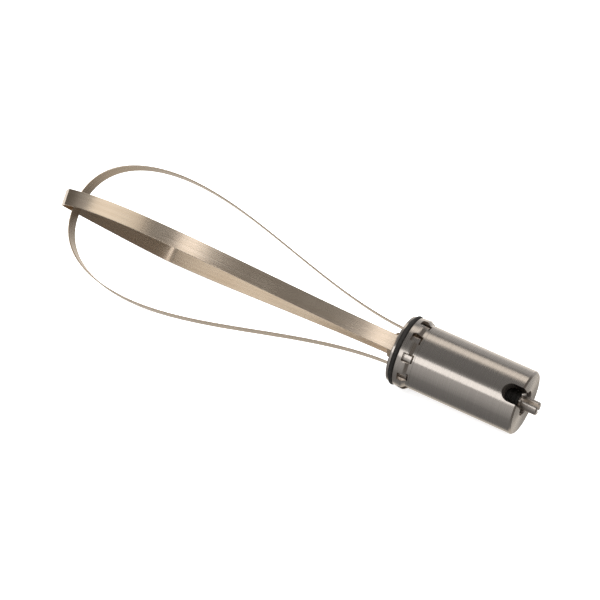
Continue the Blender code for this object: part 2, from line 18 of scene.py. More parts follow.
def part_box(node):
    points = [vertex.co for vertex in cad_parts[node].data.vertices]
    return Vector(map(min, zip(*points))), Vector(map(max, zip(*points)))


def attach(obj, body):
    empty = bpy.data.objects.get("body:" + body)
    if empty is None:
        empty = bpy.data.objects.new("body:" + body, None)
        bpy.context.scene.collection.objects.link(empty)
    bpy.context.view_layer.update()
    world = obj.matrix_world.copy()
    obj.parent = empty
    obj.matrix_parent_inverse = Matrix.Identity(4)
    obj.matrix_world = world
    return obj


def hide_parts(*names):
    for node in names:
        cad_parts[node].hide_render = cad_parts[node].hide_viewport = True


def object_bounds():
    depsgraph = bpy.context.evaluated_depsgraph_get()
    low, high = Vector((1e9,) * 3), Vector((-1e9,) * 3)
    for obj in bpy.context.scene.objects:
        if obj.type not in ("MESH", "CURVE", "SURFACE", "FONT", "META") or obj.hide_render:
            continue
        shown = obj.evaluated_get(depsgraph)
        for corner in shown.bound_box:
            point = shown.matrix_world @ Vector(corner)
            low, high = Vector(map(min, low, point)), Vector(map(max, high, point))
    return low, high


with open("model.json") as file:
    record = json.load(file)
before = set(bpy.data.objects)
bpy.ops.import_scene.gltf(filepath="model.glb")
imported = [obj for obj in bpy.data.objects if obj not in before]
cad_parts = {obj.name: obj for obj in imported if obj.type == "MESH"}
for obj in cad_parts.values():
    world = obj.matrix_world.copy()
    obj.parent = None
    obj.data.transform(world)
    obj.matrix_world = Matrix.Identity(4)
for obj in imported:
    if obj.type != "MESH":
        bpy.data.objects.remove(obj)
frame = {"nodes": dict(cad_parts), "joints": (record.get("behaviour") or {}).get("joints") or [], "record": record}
CAD_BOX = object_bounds()

MM = 0.001
FINE, MEDIUM, COARSE = 160, 96, 48


# ---------------------------------------------------------------- the tool's frame


def tool_matrix():
    """From the tool's frame in millimetres to the row frame in metres."""
    joint = next(j for j in frame["joints"] if j["name"] == "rotor_spin")
    mount = next(m for m in frame["record"]["mounts"] if m["name"] == "drive_face")
    along = Vector(joint["axis"]).normalized()
    on_axis = Vector(joint["pos_m"])
    origin = on_axis + along * along.dot(Vector(mount["pos_m"]) - on_axis)
    side = along.cross(Vector((0, 0, 1))).normalized()
    up = side.cross(along)
    notch = (up - side) / sqrt(2)
    axes = Matrix((along, notch, along.cross(notch))).transposed().to_4x4()
    return Matrix.Translation(origin) @ axes @ Matrix.Scale(MM, 4)


TOOL = tool_matrix()
TO_TOOL = TOOL.inverted()


def tube_of(node):
    """Where a CAD node lies in the tool's frame: first x, last x, least radius and greatest radius."""
    points = [TO_TOOL @ vert.co for vert in frame["nodes"][node].data.vertices]
    along = [p.x for p in points]
    around = [hypot(p.y, p.z) for p in points]
    return min(along), max(along), min(around), max(around)


# ---------------------------------------------------------------- outlines


def arc(centre, radius, start, end, steps):
    """Points on an arc, angles in degrees."""
    angles = [radians(start + (end - start) * i / steps) for i in range(steps + 1)]
    return [(centre[0] + radius * cos(a), centre[1] + radius * sin(a)) for a in angles]


def rounded(corners, closed=True):
    """An outline of (x, r) or (x, r, radius) corners, with an arc at each corner that has a radius."""
    outline = []
    count = len(corners)
    for i, corner in enumerate(corners):
        here = Vector(corner[:2])
        ends_here = not closed and i in (0, count - 1)
        if len(corner) == 2 or ends_here:
            outline.append(tuple(here))
            continue
        before = (Vector(corners[i - 1][:2]) - here).normalized()
        after = (Vector(corners[(i + 1) % count][:2]) - here).normalized()
        half = before.angle(after) / 2
        middle = here + (before + after).normalized() * corner[2] / sin(half)
        start = here + before * corner[2] * cos(half) / sin(half) - middle
        turn = pi - 2 * half
        if before.cross(after) > 0:
            turn = -turn
        steps = max(2, ceil(abs(turn) / radians(24)))
        for k in range(steps + 1):
            point = middle + Matrix.Rotation(turn * k / steps, 2) @ start
            outline.append(tuple(point))
    return outline


def block_corners(low_u, high_u, low_v, high_v):
    return [(low_u, low_v), (high_u, low_v), (high_u, high_v), (low_u, high_v)]


def filled_in(outline, longest):
    """The outline with points added, so that no stretch is longer than this."""
    made = [outline[0]]
    for a, b in zip(outline, outline[1:]):
        steps = max(1, ceil(hypot(b[0] - a[0], b[1] - a[1]) / longest))
        for k in range(1, steps + 1):
            made.append((a[0] + (b[0] - a[0]) * k / steps, a[1] + (b[1] - a[1]) * k / steps))
    return made


# ---------------------------------------------------------------- solids, as bmeshes in millimetres


def facing_out(bm):
    bmesh.ops.recalc_face_normals(bm, faces=bm.faces)
    if bm.calc_volume(signed=True) < 0:
        bmesh.ops.reverse_faces(bm, faces=bm.faces)
    return bm


def turned(outline, steps, shape=None):
    """Turns an outline about x. One that ends on the axis closes there, any other closes on itself.

    shape, if given, takes (x, r, angle) and returns the x and r to use instead.
    """
    bm = bmesh.new()
    rings = []
    for x, r in outline:
        if r < 1e-6:
            rings.append([bm.verts.new((x, 0, 0))] * steps)
            continue
        verts = []
        for i in range(steps):
            angle = 2 * pi * i / steps
            at, out = shape(x, r, angle) if shape else (x, r)
            verts.append(bm.verts.new((at, out * cos(angle), out * sin(angle))))
        rings.append(verts)
    closed = outline[0][1] > 1e-6
    for a, b in zip(rings, rings[1:] + ([rings[0]] if closed else [])):
        for i in range(steps):
            j = (i + 1) % steps
            corners = dict.fromkeys((a[i], b[i], b[j], a[j]))
            if len(corners) > 2:
                bm.faces.new(corners)
    return facing_out(bm)


def ring(start, end, inner, outer, edge, steps):
    """A plain tube with its four edges rounded."""
    corners = [(start, inner, edge), (start, outer, edge), (end, outer, edge), (end, inner, edge)]
    return turned(rounded(corners), steps)


def prism(outline, low, high):
    """A flat outline of (u, v) points in the x-y plane, standing from z = low to z = high."""
    bm = bmesh.new()
    bottom = [bm.verts.new((u, v, low)) for u, v in outline]
    top = [bm.verts.new((u, v, high)) for u, v in outline]
    bm.faces.new(bottom)
    bm.faces.new(top)
    for i in range(len(outline)):
        j = (i + 1) % len(outline)
        bm.faces.new((bottom[i], bottom[j], top[j], top[i]))
    return facing_out(bm)


def rod(start, end, radius, steps):
    """A straight cylinder, used for drilled holes and pins."""
    start, end = Vector(start), Vector(end)
    along = end - start
    bm = bmesh.new()
    bmesh.ops.create_cone(
        bm, cap_ends=True, segments=steps, radius1=radius, radius2=radius, depth=along.length
    )
    turn = Vector((0, 0, 1)).rotation_difference(along).to_matrix().to_4x4()
    bm.transform(Matrix.Translation((start + end) / 2) @ turn)
    return bm


def block(low, high):
    bm = bmesh.new()
    bmesh.ops.create_cube(bm, size=1)
    size = Vector(high) - Vector(low)
    middle = (Vector(high) + Vector(low)) / 2
    bm.transform(Matrix.Translation(middle) @ Matrix.Diagonal((*size, 1)))
    return bm


def about_x(bm, angle):
    bm.transform(Matrix.Rotation(angle, 4, "X"))
    return bm


def about_y(bm, angle):
    bm.transform(Matrix.Rotation(angle, 4, "Y"))
    return bm


def hexagon(radius):
    return [(radius * cos(pi * k / 3), radius * sin(pi * k / 3)) for k in range(6)]


def loose(bm):
    """A temporary object that holds bm."""
    mesh = bpy.data.meshes.new("loose")
    bm.to_mesh(mesh)
    bm.free()
    obj = bpy.data.objects.new("loose", mesh)
    bpy.context.scene.collection.objects.link(obj)
    return obj


def combined(bm, others, operation="DIFFERENCE"):
    """bm with each of the others cut from it, joined to it, or kept in common with it."""
    whole = loose(bm)
    helpers = [loose(other) for other in others]
    for helper in helpers:
        modifier = whole.modifiers.new("combine", "BOOLEAN")
        modifier.operation = operation
        modifier.solver = "EXACT"
        modifier.object = helper
    graph = bpy.context.evaluated_depsgraph_get()
    mesh = bpy.data.meshes.new_from_object(whole.evaluated_get(graph))
    made = bmesh.new()
    made.from_mesh(mesh)
    for obj in [whole, *helpers]:
        data = obj.data
        bpy.data.objects.remove(obj)
        bpy.data.meshes.remove(data)
    bpy.data.meshes.remove(mesh)
    return made


def merge_close(bm):
    bmesh.ops.remove_doubles(bm, verts=bm.verts, dist=1e-4)


def edges_over(bm, sharper_than):
    """The edges between two faces that meet at more than an angle."""
    limit = radians(sharper_than)
    return [e for e in bm.edges if len(e.link_faces) == 2 and e.calc_face_angle() > limit]


def bevelled(bm, edges, width, segments=2):
    bmesh.ops.bevel(
        bm,
        geom=edges,
        offset=width,
        offset_type="OFFSET",
        segments=segments,
        profile=0.5,
        affect="EDGES",
        clamp_overlap=True,
    )
    return bm


def broken_edges(bm, width, sharper_than=40, segments=2):
    """Rounds the edges that are sharper than an angle, as a deburring tool does."""
    merge_close(bm)
    bmesh.ops.dissolve_degenerate(bm, dist=1e-4, edges=bm.edges)
    return bevelled(bm, edges_over(bm, sharper_than), width, segments)


# ---------------------------------------------------------------- pieces


def lathe_uv(bm):
    """UV in centimetres: u along the turned surface's profile, v round it."""
    layer = bm.loops.layers.uv.new("grain")
    for face in bm.faces:
        flat = abs(face.normal.x) > 0.7
        middle = face.calc_center_median()
        centre = Vector((middle.y, middle.z))
        reach = max(centre.length, 1)
        for loop in face.loops:
            here = Vector((loop.vert.co.y, loop.vert.co.z))
            turn = centre.angle_signed(here, 0) if centre.length > 1e-3 and here.length > 1e-3 else 0
            base = centre.angle_signed(Vector((1, 0)), 0) if centre.length > 1e-3 else 0
            along = here.length if flat else loop.vert.co.x
            loop[layer].uv = (along / 10, (turn - base) * reach / 10)


def finished(name, bm, material, body, nodes=None, smooth=32, uv=lathe_uv):
    """Makes bm the piece that stands for a CAD node and rides on its body."""
    if uv:
        uv(bm)
    bm.transform(TOOL)
    mesh = bpy.data.meshes.new(name)
    bm.to_mesh(mesh)
    bm.free()
    mesh.materials.append(MATERIALS[material])
    mesh.shade_smooth()
    mesh.set_sharp_from_angle(angle=radians(smooth))
    piece = bpy.data.objects.new(name + "_fine", mesh)
    bpy.context.scene.collection.objects.link(piece)
    normals = piece.modifiers.new("face_weighted", "WEIGHTED_NORMAL")
    normals.keep_sharp = True
    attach(piece, body)
    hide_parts(*(nodes or [name]))
    return piece


# ---------------------------------------------------------------- materials


def node(material, kind, inputs=None, **settings):
    made = material.node_tree.nodes.new("ShaderNode" + kind)
    for key, value in settings.items():
        setattr(made, key, value)
    for key, value in (inputs or {}).items():
        made.inputs[key].default_value = value
    return made


def wire(material, source, target):
    material.node_tree.links.new(source, target)


def new_material(slot, **sockets):
    """A Principled material with these sockets set, named as the record's slot."""
    made = bpy.data.materials.new(slot)
    made.use_nodes = True
    shader = made.node_tree.nodes["Principled BSDF"]
    for key, value in sockets.items():
        shader.inputs[key.replace("_", " ")].default_value = value
    return made, shader


def noise(material, coordinates, scale, detail=3.0, stretch=None):
    """A noise texture's factor, on coordinates that may be stretched per axis."""
    source = coordinates
    if stretch:
        mapping = node(material, "Mapping", {"Scale": stretch})
        wire(material, coordinates, mapping.inputs["Vector"])
        source = mapping.outputs["Vector"]
    texture = node(material, "TexNoise", {"Scale": scale, "Detail": detail})
    wire(material, source, texture.inputs["Vector"])
    return texture.outputs["Fac"]


def spread(material, factor, low, high, start=0.3, end=0.7):
    """Maps a noise factor to a range of values."""
    ranged = node(
        material,
        "MapRange",
        {"From Min": start, "From Max": end, "To Min": low, "To Max": high},
    )
    wire(material, factor, ranged.inputs["Value"])
    return ranged.outputs["Result"]


def tinted(material, factor, first, second):
    """A colour between two, by a factor."""
    mix = node(material, "Mix", data_type="RGBA")
    wire(material, factor, mix.inputs["Factor"])
    mix.inputs["A"].default_value = (*first, 1)
    mix.inputs["B"].default_value = (*second, 1)
    return mix.outputs["Result"]


def added(material, first, second):
    math = node(material, "Math", operation="ADD")
    wire(material, first, math.inputs[0])
    wire(material, second, math.inputs[1])
    return math.outputs["Value"]


def bumped(material, shader, height, distance):
    """Raises the surface by a height factor; the distance is in metres."""
    bump = node(material, "Bump", {"Strength": 1.0, "Distance": distance})
    wire(material, height, bump.inputs["Height"])
    wire(material, bump.outputs["Normal"], shader.inputs["Normal"])


def grained_metal(slot, colours, roughness, anisotropy, pitch, grain_height):
    """Metal with a directional grain: u of the UV runs across the lines, v along them.

    pitch is the grain's coarseness in millimetres, and grain_height its height in metres.
    """
    made, shader = new_material(slot, Metallic=1.0, Anisotropic=anisotropy)
    uv = node(made, "UVMap", uv_map="grain").outputs["UV"]
    space = node(made, "TexCoord").outputs["Object"]
    tangent = node(made, "Tangent", direction_type="UV_MAP", uv_map="grain")
    wire(made, tangent.outputs["Tangent"], shader.inputs["Tangent"])
    lines = noise(made, uv, 1.0, 4.0, stretch=(10 / pitch, 0.35, 1))
    broad = noise(made, uv, 1.0, 2.0, stretch=(2 / pitch, 0.12, 1))
    smudges = noise(made, space, 45.0, 4.0)
    tone = added(made, spread(made, broad, 0.0, 0.6), spread(made, smudges, 0.0, 0.4))
    wire(made, tinted(made, tone, *colours), shader.inputs["Base Color"])
    rough = added(made, spread(made, smudges, *roughness), spread(made, lines, -0.02, 0.02))
    wire(made, rough, shader.inputs["Roughness"])
    bumped(made, shader, lines, grain_height)
    return made


def polished_metal(slot, colours, roughness, smudge_scale):
    """Ground or plated metal without a direction: faint mottling and hairline marks."""
    made, shader = new_material(slot, Metallic=1.0)
    space = node(made, "TexCoord").outputs["Object"]
    smudges = noise(made, space, smudge_scale, 5.0)
    marks = noise(made, space, 900.0, 2.0, stretch=(1, 0.15, 0.4))
    wire(made, tinted(made, smudges, *colours), shader.inputs["Base Color"])
    rough = added(made, spread(made, smudges, *roughness), spread(made, marks, 0.0, 0.06))
    wire(made, rough, shader.inputs["Roughness"])
    bumped(made, shader, marks, 0.000004)
    return made


def rubber(slot):
    """Matt black rubber with a faint dusty bloom."""
    made, shader = new_material(slot, Metallic=0.0, Specular_IOR_Level=0.28)
    space = node(made, "TexCoord").outputs["Object"]
    grain = noise(made, space, 2600.0, 3.0)
    bloom = noise(made, space, 120.0, 4.0)
    dust = tinted(made, spread(made, bloom, 0.0, 1.0), (0.007, 0.0065, 0.006), (0.02, 0.018, 0.016))
    wire(made, dust, shader.inputs["Base Color"])
    wire(made, spread(made, bloom, 0.42, 0.62), shader.inputs["Roughness"])
    bumped(made, shader, grain, 0.00002)
    return made


STAINLESS_TINTS = ((0.62, 0.565, 0.515), (0.70, 0.64, 0.585))
SPRING_TINTS = ((0.66, 0.54, 0.42), (0.78, 0.665, 0.54))
BRIGHT_TINTS = ((0.74, 0.70, 0.66), (0.82, 0.79, 0.75))
BRASS_TINTS = ((0.72, 0.50, 0.22), (0.82, 0.62, 0.32))
MATERIALS = {
    "brushed_stainless": grained_metal("brushed_stainless", STAINLESS_TINTS, (0.25, 0.29), 0.9, 0.25, 8e-7),
    "spring_steel": grained_metal("spring_steel", SPRING_TINTS, (0.23, 0.28), 0.8, 0.35, 2e-6),
    "bearing_steel": polished_metal("bearing_steel", BRIGHT_TINTS, (0.07, 0.14), 160.0),
    "cage_brass": polished_metal("cage_brass", BRASS_TINTS, (0.22, 0.34), 140.0),
    "black_rubber": rubber("black_rubber"),
}


# ---------------------------------------------------------------- stationary housing

BARREL_CHAMFER = 1.0
JOINT_LINE = 0.09
MOUTH_FLOOR = 64.0
MOUTH_R = 16.2
SPIGOT_START = 63.4
SPIGOT_R = 18.2
BEARING_BORE_R = 13.0
BORE_START = 15.0
RING_GROOVE = (61.4, 62.8)
RING_GROOVE_R = 13.9
NOTCH_WIDTH = 10.6
NOTCH_LENGTH = 11.2
NOTCH_REACH = (2, 28)


def make_barrel():
    """A cup with the notch in its drive end and a spigot at its mouth for the collar."""
    start, end, bore, outer = tube_of("barrel")
    corners = [
        (start, bore, 0.3),
        (start, outer - BARREL_CHAMFER, 0.15),
        (start + BARREL_CHAMFER, outer, 0.25),
        (SPIGOT_START, outer, 0.06),
        (SPIGOT_START, SPIGOT_R),
        (end, SPIGOT_R, 0.2),
        (end, MOUTH_R, 0.3),
        (MOUTH_FLOOR, MOUTH_R, 0.4),
        (MOUTH_FLOOR, BEARING_BORE_R, 0.4),
        (RING_GROOVE[1], BEARING_BORE_R),
        (RING_GROOVE[1], RING_GROOVE_R),
        (RING_GROOVE[0], RING_GROOVE_R),
        (RING_GROOVE[0], BEARING_BORE_R),
        (BORE_START, BEARING_BORE_R, 0.3),
        (BORE_START, bore, 0.2),
    ]
    half = NOTCH_WIDTH / 2
    bend = NOTCH_LENGTH - half
    outline = [(-2, -half)] + arc((bend, 0), half, -90, 90, 40) + [(-2, half)]
    notch = about_x(prism(outline, *NOTCH_REACH), -pi / 2)
    cuts = [notch] + [window_slit(i) for i in range(WINDOWS)]
    shell = combined(turned(rounded(corners), FINE), cuts)
    finished("barrel", broken_edges(shell, 0.22), "brushed_stainless", "housing")


WINDOWS = 10
WINDOW = (64.4, 70.5)
WINDOW_WIDTH = 5.2
WINDOW_FILLET = 0.4
WINDOW_REACH = (15, 25)
SLIT_WIDTH = 1.15
RIDGE = (65.6, 67.4, 68.5, 69.6)
RIDGE_SHOULDER_DROP = 0.15
COLLAR_END_R = 20.35
LIP_CHAMFER = 0.5


def in_window(outline, i, inner, outer):
    """A flat outline of (x, z) points stood on the axis and turned to the collar's window i."""
    cutter = about_x(prism(outline, inner, outer), -pi / 2)
    return about_x(cutter, 2 * pi * (i + 0.5) / WINDOWS)


def window_slit(i):
    """The L-shaped latch slot milled through the spigot under two sides of a window."""
    start, end = WINDOW
    half = WINDOW_WIDTH / 2
    near, low = start + SLIT_WIDTH, SLIT_WIDTH - half
    outline = [(start, -half), (end, -half), (end, low), (near, low), (near, half), (start, half)]
    return in_window(outline, i, MOUTH_R - 1, SPIGOT_R + 1)


def make_collar():
    """The ring on the spigot: a cone with a ridge, cut by the windows."""
    start, end, inner, crest = tube_of("front_collar")
    barrel_r = tube_of("barrel")[3]
    shoulder = crest - RIDGE_SHOULDER_DROP
    corners = [
        (start - JOINT_LINE, inner),
        (start - JOINT_LINE, barrel_r, 0.06),
        (RIDGE[0], barrel_r, 0.6),
        (RIDGE[1], shoulder, 0.9),
        (RIDGE[2], crest, 0.6),
        (RIDGE[3], shoulder, 0.8),
        (end, COLLAR_END_R, 0.25),
        (end, inner),
    ]
    half = WINDOW_WIDTH / 2
    outline = [(x, z, WINDOW_FILLET) for x, z in block_corners(*WINDOW, -half, half)]
    cutters = [in_window(rounded(outline), i, *WINDOW_REACH) for i in range(WINDOWS)]
    collar = combined(turned(rounded(corners), FINE), cutters)
    finished("front_collar", broken_edges(collar, 0.12), "brushed_stainless", "housing")


def make_front_rings():
    """The round rubber ring, cut flat where it sits on the spigot, and the thin ring that holds it."""
    start, end, inner, outer = tube_of("o_ring")
    section = (end - start) / 2
    outline = arc(((start + end) / 2, outer - section), section, 0, 345, 23)
    finished("o_ring", turned(outline, FINE), "black_rubber", "housing")
    start, end, inner, outer = tube_of("lip_ring")
    corners = [
        (start, inner, 0.1),
        (start, outer, 0.3),
        (end - LIP_CHAMFER, outer, 0.2),
        (end, outer - LIP_CHAMFER, 0.2),
        (end, inner, 0.1),
    ]
    finished("lip_ring", turned(rounded(corners), FINE), "brushed_stainless", "housing")


# ---------------------------------------------------------------- bearings and seal

BALLS = 7
PITCH_R = 9.0
GROOVE_R = 2.45


def race_groove(middle, radius, side):
    """The ball groove's arc where it meets a race of this radius; side is -1 for the inner race."""
    reach = degrees(asin(abs(PITCH_R - radius) / GROOVE_R))
    return arc((middle, PITCH_R), GROOVE_R, side * reach, side * (180 - reach), 14)


def make_race(node_name, groove_side, body):
    start, end, inner, outer = tube_of(node_name)
    middle = (start + end) / 2
    if groove_side > 0:
        corners = [(start, inner), (start, outer, 0.4), (end, outer, 0.4), (end, inner)]
        outline = rounded(corners, closed=False) + race_groove(middle, inner, groove_side)
    else:
        corners = [(start, outer), (start, inner, 0.4), (end, inner, 0.4), (end, outer)]
        outline = rounded(corners, closed=False) + race_groove(middle, outer, groove_side)
    finished(node_name, turned(outline, MEDIUM), "bearing_steel", body)


def make_bearing(end_name):
    make_race(f"{end_name}_outer_race", 1, "housing")
    make_race(f"{end_name}_inner_race", -1, "rotor")
    body = f"{end_name}_cage"
    start, end, inner, outer = tube_of(f"{end_name}_ball_cage")
    middle = (start + end) / 2
    pockets = []
    for i in range(BALLS):
        angle = 2 * pi * i / BALLS
        out = Vector((0, cos(angle), sin(angle)))
        centre = Vector((middle, 0, 0))
        pockets.append(rod(centre + 6 * out, centre + 12 * out, GROOVE_R, 32))
        bm = bmesh.new()
        low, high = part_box(f"{end_name}_ball_{i + 1}")
        ball_r = max(high - low) / 2 / MM
        bmesh.ops.create_uvsphere(bm, u_segments=32, v_segments=20, radius=ball_r)
        bm.transform(Matrix.Translation(centre + PITCH_R * out))
        finished(f"{end_name}_ball_{i + 1}", bm, "bearing_steel", body)
    cage = combined(ring(start, end, inner, outer, 0.15, MEDIUM), pockets)
    finished(f"{end_name}_ball_cage", broken_edges(cage, 0.08), "cage_brass", body)


def make_wave_washer():
    inner, outer, middle = 10.9, 12.6, 54.6
    waves, lift, half = 3, 0.28, 0.12
    corners = [
        (middle - half, inner, 0.06),
        (middle - half, outer, 0.06),
        (middle + half, outer, 0.06),
        (middle + half, inner, 0.06),
    ]
    washer = turned(rounded(corners), MEDIUM, lambda x, r, angle: (x - lift * cos(waves * angle), r))
    finished("wave_washer", washer, "bearing_steel", "housing")


def make_shaft_seal():
    start, end, inner, outer = tube_of("seal_case")
    wall = 0.7
    corners = [
        (start, outer, 0.3),
        (end, outer, 0.5),
        (end, inner, 0.15),
        (end - wall + 0.1, inner, 0.1),
        (end - wall + 0.1, outer - wall, 0.2),
        (start, outer - wall, 0.15),
    ]
    finished("seal_case", turned(rounded(corners), MEDIUM), "bearing_steel", "housing")
    start, end, lip_r, body_r = tube_of("seal_lip")
    thick = 1.1
    corners = [
        (start, body_r, 0.15),
        (end, body_r, 0.15),
        (end, 8.0, 0.3),
        (end - 0.9, 7.4, 0.5),
        (start + 1.5, lip_r, 0.1),
        (start + 0.5, 7.3, 0.25),
        (start + 0.5, 8.2, 0.15),
        (start + 2.1, 8.2, 0.3),
        (start + 3.3, 9.6, 0.4),
        (start + 3.3, body_r - thick, 0.3),
        (start, body_r - thick, 0.15),
    ]
    finished("seal_lip", turned(rounded(corners), MEDIUM), "black_rubber", "housing")


def make_garter_spring():
    """A closed coil of fine wire that lies in the seal's groove."""
    start, end, inner, outer = tube_of("garter_spring")
    wire_r = 0.11
    coil_r = (end - start) / 2 - wire_r - 0.02
    centre_x, centre_r = (start + end) / 2, (inner + outer) / 2
    turns, per_turn, sides = 110, 12, 6
    count = turns * per_turn
    bm = bmesh.new()
    rings = []
    for i in range(count):
        around, coil = 2 * pi * i / count, 2 * pi * i / per_turn
        out = Vector((0, cos(around), sin(around)))
        along = Vector((0, -sin(around), cos(around)))
        spoke = Vector((cos(coil), 0, 0)) + out * sin(coil)
        centre = Vector((centre_x, 0, 0)) + out * centre_r + spoke * coil_r
        rings.append(
            [
                bm.verts.new(centre + (spoke * cos(a) + along * sin(a)) * wire_r)
                for a in (2 * pi * k / sides for k in range(sides))
            ]
        )
    for a, b in zip(rings, rings[1:] + rings[:1]):
        for k in range(sides):
            j = (k + 1) % sides
            bm.faces.new((a[k], b[k], b[j], a[j]))
    finished("garter_spring", facing_out(bm), "bearing_steel", "housing", smooth=70)


def make_snap_ring(name, inner, outer, gap, lug_r, lug_angle, facing, body):
    """A stamped retaining ring: an open ring with a drilled lug either side of its gap."""
    start, end, _, _ = tube_of(name)
    lugs = []
    cuts = [block((start - 1, 0, -gap / 2), (end + 1, 2 * outer, gap / 2))]
    for side in (-1, 1):
        at = (lug_r * cos(side * lug_angle), lug_r * sin(side * lug_angle))
        lugs.append(rod((start, *at), (end, *at), 1.1, 32))
        cuts.append(rod((start - 1, *at), (end + 1, *at), 0.45, 20))
    plain = turned([(start, inner), (start, outer), (end, outer), (end, inner)], MEDIUM)
    clip = combined(combined(plain, lugs, "UNION"), cuts)
    finished(name, about_x(broken_edges(clip, 0.12), facing), "bearing_steel", body)


# ---------------------------------------------------------------- rotor

SHAFT_R = 4.0
SHAFT_BODY_R = 4.95
SHOULDER = (13.5, 15.1)
SHOULDER_R = 6.2
CLIP_GROOVE = (1.4, 3.0)
CLIP_GROOVE_R = 3.6
DRIVE_SLOT_WIDTH = 1.8
DRIVE_SLOT_LENGTH = 8.6
DRIVE_SLOT_TURN = radians(13.5)
THREAD_R = 3.95
THREAD_PITCH = 1.25
THREAD_DEPTH = 0.62
THREAD_START = 77.0
HUB = (64.4, 76.0)
CROSS_PIN_X = 67.0
CROSS_PIN_R = 1.5
LEG_SCREW_X = 70.4
LEG_SCREW_R = 1.7
LEG_SCREW_REACH = 5.2
LEG_SCREW_HEAD_R = 3.6
LEG_SCREW_HEAD_HEIGHT = 2.2
LEG_SCREW_SOCKET_R = 1.4


def threaded(x, r, angle):
    """How a turned shaft's radius follows a right-hand V thread on its last stretch."""
    if x < THREAD_START or r < THREAD_R - 0.01:
        return x, r
    phase = (x / THREAD_PITCH + angle / (2 * pi)) % 1
    groove = min(1.0, 2.6 * abs(phase - 0.5))
    fade = min(1.0, (x - THREAD_START) / THREAD_PITCH)
    return x, r - THREAD_DEPTH * fade * (1 - groove)


def shaft_outline(tip, nose):
    """Stub, clip groove, shoulder and bearing seat, then the threaded nose."""
    neck = HUB[1] + 0.1
    corners = [
        (tip, 0),
        (tip, SHAFT_R - 0.5, 0.1),
        (tip + 0.5, SHAFT_R, 0.2),
        (CLIP_GROOVE[0], SHAFT_R, 0.1),
        (CLIP_GROOVE[0], CLIP_GROOVE_R),
        (CLIP_GROOVE[1], CLIP_GROOVE_R),
        (CLIP_GROOVE[1], SHAFT_R, 0.1),
        (SHOULDER[0], SHAFT_R, 0.3),
        (SHOULDER[0], SHOULDER_R, 0.2),
        (SHOULDER[1], SHOULDER_R, 0.2),
        (SHOULDER[1], SHAFT_BODY_R, 0.2),
        (neck, SHAFT_BODY_R, 0.2),
        (neck, THREAD_R),
    ]
    thread = filled_in([(neck, THREAD_R), (nose - 0.6, THREAD_R)], THREAD_PITCH / 10)
    return rounded(corners, closed=False) + thread[1:] + [(nose, THREAD_R - 0.6), (nose, 0)]


def cross_rod(reach, radius):
    """A rod across the shaft at the cross pin's place, midway between two legs."""
    return rod((CROSS_PIN_X, -reach, -reach), (CROSS_PIN_X, reach, reach), radius, 32)


def cross_hole():
    return cross_rod(20 / sqrt(2), CROSS_PIN_R + 0.2)


def make_drive_shaft():
    tip, nose, _, _ = tube_of("drive_shaft")
    half = DRIVE_SLOT_WIDTH / 2
    slot = block((tip - 2, -8, -half), (tip + DRIVE_SLOT_LENGTH, 8, half))
    plain = turned(shaft_outline(tip, nose), MEDIUM, threaded)
    shaft = combined(plain, [about_x(slot, DRIVE_SLOT_TURN), cross_hole()])
    # The thread's own flanks are sharp too, so only the slot's and the hole's edges are broken.
    merge_close(shaft)
    edges = [e for e in edges_over(shaft, 40) if all(v.co.x < THREAD_START - 1 for v in e.verts)]
    finished("drive_shaft", bevelled(shaft, edges, 0.12), "brushed_stainless", "rotor")


def make_shaft_boot():
    """A rubber sleeve with a plain lip and then shallow ribs."""
    start, end, inner, outer = tube_of("shaft_boot")
    lip, rib, dip = 1.6, 1.5, 0.45
    corners = [(start, inner, 0.1), (start, outer, 0.4), (start + lip, outer, 0.3)]
    at = start + lip
    while at + 2 * rib < end - 1:
        corners += [
            (at + 0.3, outer - dip, 0.15),
            (at + rib - 0.3, outer - dip, 0.15),
            (at + rib, outer - 0.05, 0.15),
            (at + 2 * rib - 0.3, outer - 0.05, 0.15),
        ]
        at += 2 * rib - 0.3
    corners += [(end, outer, 0.2), (end, inner, 0.1)]
    finished("shaft_boot", turned(rounded(corners), MEDIUM), "black_rubber", "rotor")


def make_spacer(name, body):
    finished(name, ring(*tube_of(name), 0.2, MEDIUM), "brushed_stainless", body)


HUB_FLAT = 10.0
HUB_CORNER = 2.5
HUB_BORE_R = 5.1


def make_hub():
    """A square block with cut corners, bored for the shaft, its pin and the leg screws."""
    corner = HUB_FLAT - HUB_CORNER
    outline = [(HUB_FLAT, -corner), (HUB_FLAT, corner), (corner, HUB_FLAT), (-corner, HUB_FLAT)]
    outline += [(-u, -v) for u, v in outline]
    hub = about_y(prism(outline, *HUB), pi / 2)
    cuts = [rod((HUB[0] - 1, 0, 0), (HUB[1] + 1, 0, 0), HUB_BORE_R, 64), cross_hole()]
    for i in range(4):
        hole = rod((LEG_SCREW_X, 3, 0), (LEG_SCREW_X, 12, 0), LEG_SCREW_R + 0.2, 32)
        cuts.append(about_x(hole, i * pi / 2))
    finished("whisk_hub", broken_edges(combined(hub, cuts), 0.3, 30, 3), "brushed_stainless", "rotor")


def make_hub_pin():
    reach = (2 * HUB_FLAT - HUB_CORNER) / 2 - 0.2
    pin = broken_edges(cross_rod(reach, CROSS_PIN_R), 0.25)
    finished("hub_cross_pin", pin, "brushed_stainless", "rotor")


def make_lock_washer():
    start, end, inner, outer = tube_of("hub_lock_washer")
    split = block((start - 1, 2, -0.6), (end + 1, 10, 0.6))
    washer = combined(ring(start, end, inner, outer, 0.12, MEDIUM), [split])
    finished("hub_lock_washer", broken_edges(washer, 0.08), "bearing_steel", "rotor")


